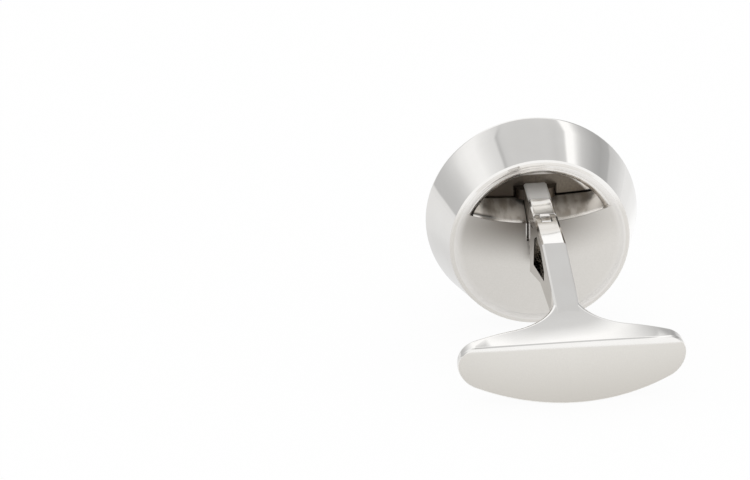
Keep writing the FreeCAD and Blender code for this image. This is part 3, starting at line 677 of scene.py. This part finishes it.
def fitted_normal(vertex):
    """Normal of the curved patch that goes through a point and the points round it in two rows."""
    way = sum((face.normal * face.calc_area() for face in vertex.link_faces), Vector()).normalized()
    around = {edge.other_vert(vertex) for edge in vertex.link_edges}
    around |= {edge.other_vert(near) for near in around for edge in near.link_edges}
    around.discard(vertex)
    side = way.orthogonal().normalized()
    over = way.cross(side)
    rows = []
    rises = []
    for near in around:
        step = (near.co - vertex.co) * MM
        x, y = step.dot(side), step.dot(over)
        weight = 1 / max(step.length_squared, NEAREST_SQUARE_MM)
        rows.append([weight * term for term in (x, y, x * x, x * y, y * y)])
        rises.append(weight * step.dot(way))
    slopes = numpy.linalg.lstsq(numpy.array(rows), numpy.array(rises), rcond=FIT_CUTOFF)[0]
    return (way - side * float(slopes[0]) - over * float(slopes[1])).normalized()


def fitted_copy(name, node):
    """Copy of a CAD node whose normals come from curved patches through the points of each CAD face, so that
    its coarse facets mirror as the true surface does."""
    mesh = frame["nodes"][node].data.copy()
    mesh.materials.clear()
    work = bmesh.new()
    work.from_mesh(mesh)
    ways = {vertex: fitted_normal(vertex) for vertex in work.verts}
    number = work.faces.layers.int.new("number")
    fitted = []
    for face in work.faces:
        face[number] = len(fitted)
        fitted.append([ways[corner.vert] for corner in face.loops])
    bmesh.ops.remove_doubles(work, verts=work.verts, dist=SAME_PLACE)
    normals = [way for face in work.faces for way in fitted[face[number]]]
    work.faces.layers.int.remove(number)
    for face in work.faces:
        face.smooth = True
    work.to_mesh(mesh)
    work.free()
    mesh.normals_split_custom_set(normals)
    piece = bpy.data.objects.new(name, mesh)
    bpy.context.scene.collection.objects.link(piece)
    return piece


arm = fitted_copy("toggle_arm_polished", "toggle_arm")
arm.data.materials.append(arm_metal)
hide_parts("toggle_arm")
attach(arm, "arm")


# Table
# A sheet of white board that the cufflink lies on. It is white to the eye and in the metal, a little darker
# behind the head, and it keeps a trace of the cufflink's shadow. On the left near the cufflink its glow, seen
# only in the metal, is painted darker, as painted shade.
BOARD_HALF = 1.5
BOARD_GLOW_SHARE = 0.92
BOARD_WHITE = (0.97, 0.97, 0.97, 1.0)
FULL_WHITE = (1.0, 1.0, 1.0, 1.0)
BEHIND_HEAD = (-0.02, 0.02)
LEFT_OF_HEAD = (0.02, -0.02)
# Light levels by distance from the cufflink, behind it on each side; the low levels near it on the left are
# painted shade
REAR_RIGHT_LEVELS = [(0.0, 1.03), (0.038, 1.02), (0.05, 0.91), (0.09, 0.84), (0.2, 0.83)]
REAR_LEFT_LEVELS = [(0.0, 0.68), (0.028, 0.69), (0.04, 0.765), (0.07, 0.8), (0.2, 0.8)]


def level_ramp(tree, value, levels):
    """Light level as value goes through (value, level) pairs."""
    low, high = levels[0][0], levels[-1][0]
    along = add(tree, "ShaderNodeMapRange", {"Value": value, "From Min": low, "From Max": high})
    ramp = add(tree, "ShaderNodeValToRGB", {"Fac": along.outputs["Result"]})
    stops = ramp.color_ramp.elements
    while len(stops) < len(levels):
        stops.new(0.5)
    for stop, (at, level) in zip(stops, levels):
        stop.position = (at - low) / (high - low)
        stop.color = (level, level, level, 1.0)
    return ramp.outputs["Color"]


board_mesh = bpy.data.meshes.new("white_board")
board_corners = [(BOARD_HALF * x, BOARD_HALF * y, 0) for x, y in ((-1, -1), (1, -1), (1, 1), (-1, 1))]
board_mesh.from_pydata(board_corners, [], [(0, 1, 2, 3)])
board = bpy.data.objects.new("white_board", board_mesh)
bpy.context.scene.collection.objects.link(board)

# White card, lit so brightly that what is seen of it directly or in the metal is nearly its own glow
board_paper = bpy.data.materials.new("white_card_board")
board_paper.use_nodes = True
tree = board_paper.node_tree
tree.nodes.clear()
where = add(tree, "ShaderNodeTexCoord").outputs["Object"]
across, along, _ = add(tree, "ShaderNodeSeparateXYZ", {"Vector": where}).outputs
away = add(tree, "ShaderNodeVectorMath", {0: where}, operation="LENGTH").outputs["Value"]
rear = add(tree, "ShaderNodeMix", {
    "Factor": region(tree, (across, LEFT_OF_HEAD)),
    "A": level_ramp(tree, away, REAR_RIGHT_LEVELS),
    "B": level_ramp(tree, away, REAR_LEFT_LEVELS),
}, data_type="RGBA").outputs["Result"]
reflected = add(tree, "ShaderNodeMix", {"Factor": region(tree, (along, BEHIND_HEAD)), "A": FULL_WHITE,
                                        "B": rear}, data_type="RGBA").outputs["Result"]
ray = add(tree, "ShaderNodeLightPath").outputs
seen = add(tree, "ShaderNodeMix", {"Factor": ray["Is Camera Ray"], "A": reflected, "B": FULL_WHITE},
           data_type="RGBA").outputs["Result"]
lit = add(tree, "ShaderNodeBsdfDiffuse", {"Color": BOARD_WHITE}).outputs["BSDF"]
glow = add(tree, "ShaderNodeEmission", {"Color": seen, "Strength": 1.0}).outputs["Emission"]
direct = ray["Is Camera Ray"]
for kind in ("Is Glossy Ray", "Is Transmission Ray"):
    direct = add(tree, "ShaderNodeMath", {0: direct, 1: ray[kind]}, operation="MAXIMUM").outputs["Value"]
share = add(tree, "ShaderNodeMath", {0: direct, 1: BOARD_GLOW_SHARE}, operation="MULTIPLY").outputs["Value"]
surface = add(tree, "ShaderNodeMixShader", {0: share, 1: lit, 2: glow})
add(tree, "ShaderNodeOutputMaterial", {"Surface": surface.outputs["Shader"]})
board_mesh.materials.append(board_paper)


# Light tent
# A dome of white fabric round the table, seen only in the metal. Light comes in through a bright band half
# way up, the top and the side panels under the band are greyer, and the side towards the eye is plain white.
TENT_RADIUS = 0.6
LEFT_SIDE = (-0.2, -0.4)
RIGHT_SIDE = (0.2, 0.4)
NEAR_SIDE = (0.05, -0.15)
# Light levels by height, the sine of the elevation, on each side
LEFT_LEVELS = [(-0.3, 0.785), (-0.08, 0.82), (0.05, 0.785), (0.075, 0.534), (0.2, 0.55), (0.3, 0.6),
               (0.4, 0.7), (0.5, 0.87), (0.59, 0.95), (0.68, 0.96), (0.75, 0.85), (0.82, 0.76),
               (0.845, 0.745), (0.86, 0.45), (0.875, 0.59), (0.95, 0.63)]
MIDDLE_LEVELS = [(-0.3, 0.85), (0.1, 0.8), (0.45, 0.9), (0.56, 1.08), (0.68, 1.08), (0.78, 0.7), (0.92, 0.64)]
RIGHT_LEVELS = [(-0.27, 1.0), (-0.2, 0.9), (-0.11, 0.84), (-0.04, 0.83), (0.03, 0.78), (0.11, 0.68),
                (0.2, 0.61), (0.245, 0.58), (0.27, 0.45), (0.39, 0.4), (0.48, 0.45), (0.57, 0.54),
                (0.62, 0.62), (0.66, 0.76), (0.69, 0.95), (0.71, 1.08), (0.765, 1.1), (0.785, 0.7),
                (0.8, 0.66), (0.85, 0.61)]

tent_mesh = bpy.data.meshes.new("light_tent")
work = bmesh.new()
bmesh.ops.create_icosphere(work, subdivisions=5, radius=TENT_RADIUS)
bmesh.ops.reverse_faces(work, faces=work.faces)
work.to_mesh(tent_mesh)
work.free()
tent = bpy.data.objects.new("light_tent", tent_mesh)
bpy.context.scene.collection.objects.link(tent)
tent.visible_camera = False
tent.visible_diffuse = False
tent.visible_shadow = False

# White fabric with the light behind it, so it glows
tent_fabric = bpy.data.materials.new("tent_fabric")
tent_fabric.use_nodes = True
tree = tent_fabric.node_tree
tree.nodes.clear()
way = add(tree, "ShaderNodeVectorMath", {0: add(tree, "ShaderNodeTexCoord").outputs["Object"]},
          operation="NORMALIZE").outputs["Vector"]
across, along, up = add(tree, "ShaderNodeSeparateXYZ", {"Vector": way}).outputs
level = level_ramp(tree, up, MIDDLE_LEVELS)
for side, levels in ((LEFT_SIDE, LEFT_LEVELS), (RIGHT_SIDE, RIGHT_LEVELS)):
    level = add(tree, "ShaderNodeMix", {
        "Factor": region(tree, (across, side)),
        "A": level,
        "B": level_ramp(tree, up, levels),
    }, data_type="RGBA").outputs["Result"]
level = add(tree, "ShaderNodeMix", {"Factor": region(tree, (along, NEAR_SIDE)), "A": level, "B": FULL_WHITE},
            data_type="RGBA").outputs["Result"]
glow = add(tree, "ShaderNodeEmission", {"Color": level, "Strength": 1.0}).outputs["Emission"]
add(tree, "ShaderNodeOutputMaterial", {"Surface": glow})
tent_mesh.materials.append(tent_fabric)

# Room light: white to the eye, and soft all round on what isn't metal
world = bpy.data.worlds.new("white_room")
world.use_nodes = True
world.node_tree.nodes["Background"].inputs["Color"].default_value = FULL_WHITE
world.node_tree.nodes["Background"].inputs["Strength"].default_value = 1.0
bpy.context.scene.world = world


# Camera
# A long lens in front of the toggle, a little above it and to its left, as the photograph was taken. Its
# place and its three directions were fitted to the rings of the head.
LENS_MM = 153.6
SENSOR_MM = 36.0
NEAREST_SEEN = 0.01
CAMERA_PLACE = (-0.03042698, -0.23500754, 0.0730599)
CAMERA_RIGHT = Vector((0.99557223, -0.08364882, -0.04288124))
CAMERA_UP = Vector((0.06294546, 0.2544556, 0.96503379))
CAMERA_BACK = Vector((-0.06981257, -0.96346003, 0.25859425))
lens = bpy.data.cameras.new("camera")
lens.lens = LENS_MM
lens.sensor_width = SENSOR_MM
lens.clip_start = NEAREST_SEEN
camera = bpy.data.objects.new("camera", lens)
bpy.context.scene.collection.objects.link(camera)
turn = Matrix((CAMERA_RIGHT, CAMERA_UP, CAMERA_BACK)).transposed().to_4x4()
camera.matrix_world = Matrix.Translation(CAMERA_PLACE) @ turn
bpy.context.scene.camera = camera
bpy.context.scene.view_settings.view_transform = "Standard"
